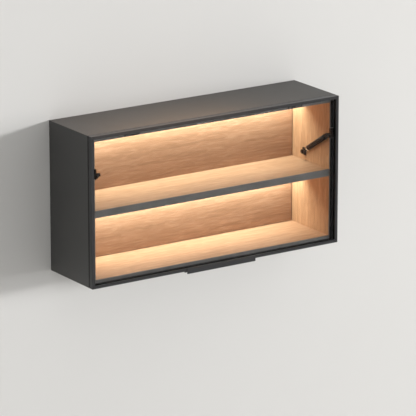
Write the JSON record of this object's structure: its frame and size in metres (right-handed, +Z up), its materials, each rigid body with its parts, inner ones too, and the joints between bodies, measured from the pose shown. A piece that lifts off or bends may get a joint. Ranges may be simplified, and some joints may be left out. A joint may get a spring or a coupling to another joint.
{
  "type": "wall mounted showcase",
  "caption": "Shallow wall-hung display cabinet with a framed glass lift-up flap on gas struts, an oak-lined interior, a fixed shelf and warm LED lines.",
  "frame": {"origin": "centre of the wall rail's back face, on the wall plane", "axes": "+X to the viewer's right along the showcase, +Y into the wall, +Z up; the flap faces -Y"},
  "size_m": [1, 0.27, 0.533],
  "materials": {
    "graphite_lacquer": "fine-textured satin graphite lacquer on board",
    "oak": "matt lacquered mid-brown oak veneer, grain along the length",
    "edge_band": "satin dark grey edging",
    "plain_wood": "unfinished softwood and beech",
    "zinc_steel": "zinc plated",
    "black_steel": "satin black-brown coating",
    "chrome_rod": "polished hard chrome",
    "dark_aluminium": "dark graphite anodised, fine brushed",
    "bare_aluminium": "natural anodised",
    "seal_rubber": "matt black",
    "clear_glass": "clear tempered float glass",
    "led_board": "white strip",
    "opal_cover": "opal cover, lit warm white",
    "driver_case": "moulded"
  },
  "bodies": {
    "case": {"case_top_board": "graphite_lacquer", "case_bottom_board": "graphite_lacquer", "case_left_board": "graphite_lacquer", "case_right_board": "graphite_lacquer", "top_liner": "oak", "bottom_liner": "oak", "left_liner": "oak", "right_liner": "oak", "top_edge_band": "edge_band", "bottom_edge_band": "edge_band", "left_edge_band": "edge_band", "right_edge_band": "edge_band", "back_panel": "oak", "shelf_board": "oak", "shelf_edge_band": "edge_band", "shelf_dowel_left_front": "plain_wood", "shelf_dowel_left_rear": "plain_wood", "shelf_dowel_right_front": "plain_wood", "shelf_dowel_right_rear": "plain_wood", "upper_led_channel": "bare_aluminium", "upper_led_strip": "led_board", "upper_led_diffuser": "opal_cover", "lower_led_channel": "bare_aluminium", "lower_led_strip": "led_board", "lower_led_diffuser": "opal_cover", "led_driver": "driver_case", "left_batten": "plain_wood", "right_batten": "plain_wood", "wall_rail": "zinc_steel", "left_hanger": "zinc_steel", "right_hanger": "zinc_steel", "left_strut_case_bracket": "black_steel", "right_strut_case_bracket": "black_steel", "left_hinge_case_leaf": "black_steel", "right_hinge_case_leaf": "black_steel", "left_hinge_pin": "zinc_steel", "right_hinge_pin": "zinc_steel"},
    "flap": {"flap_top_rail": "dark_aluminium", "flap_bottom_rail": "dark_aluminium", "flap_left_rail": "dark_aluminium", "flap_right_rail": "dark_aluminium", "flap_glass": "clear_glass", "glass_seal_top": "seal_rubber", "glass_seal_bottom": "seal_rubber", "glass_seal_left": "seal_rubber", "glass_seal_right": "seal_rubber", "handle": "dark_aluminium", "left_hinge_flap_leaf": "black_steel", "right_hinge_flap_leaf": "black_steel", "left_strut_flap_bracket": "black_steel", "right_strut_flap_bracket": "black_steel"},
    "left_rod": {"left_strut_rod": "chrome_rod", "left_strut_rod_end": "black_steel"},
    "left_tube": {"left_strut_cylinder": "black_steel", "left_strut_cylinder_end": "black_steel"},
    "right_rod": {"right_strut_rod": "chrome_rod", "right_strut_rod_end": "black_steel"},
    "right_tube": {"right_strut_cylinder": "black_steel", "right_strut_cylinder_end": "black_steel"}
  },
  "joints": [
    {"name": "flap_lift", "type": "hinge", "parent": "case", "child": "flap", "pos_m": [0, -0.248, 0.0568], "axis": [-1, 0, 0], "range_deg": [0, 50]},
    {"name": "left_strut_swing", "type": "hinge", "parent": "case", "child": "left_rod", "pos_m": [-0.4658, -0.102, -0.1705], "axis": [1, 0, 0], "range_deg": [0, 3]},
    {"name": "left_strut_stroke", "type": "slide", "parent": "left_rod", "child": "left_tube", "axis": [0, -0.8473, 0.531], "range_m": [0, 0.1145]},
    {"name": "right_strut_swing", "type": "hinge", "parent": "case", "child": "right_rod", "pos_m": [0.4658, -0.102, -0.1705], "axis": [1, 0, 0], "range_deg": [0, 3]},
    {"name": "right_strut_stroke", "type": "slide", "parent": "right_rod", "child": "right_tube", "axis": [0, -0.8473, 0.531], "range_m": [0, 0.1145]}
  ],
  "couplings": [
    {"joint": "left_strut_swing", "follows": "flap_lift", "ratio": 0.056564},
    {"joint": "left_strut_stroke", "follows": "flap_lift", "m_per_rad": 0.13093},
    {"joint": "right_strut_swing", "follows": "flap_lift", "ratio": 0.056564},
    {"joint": "right_strut_stroke", "follows": "flap_lift", "m_per_rad": 0.13093}
  ]
}
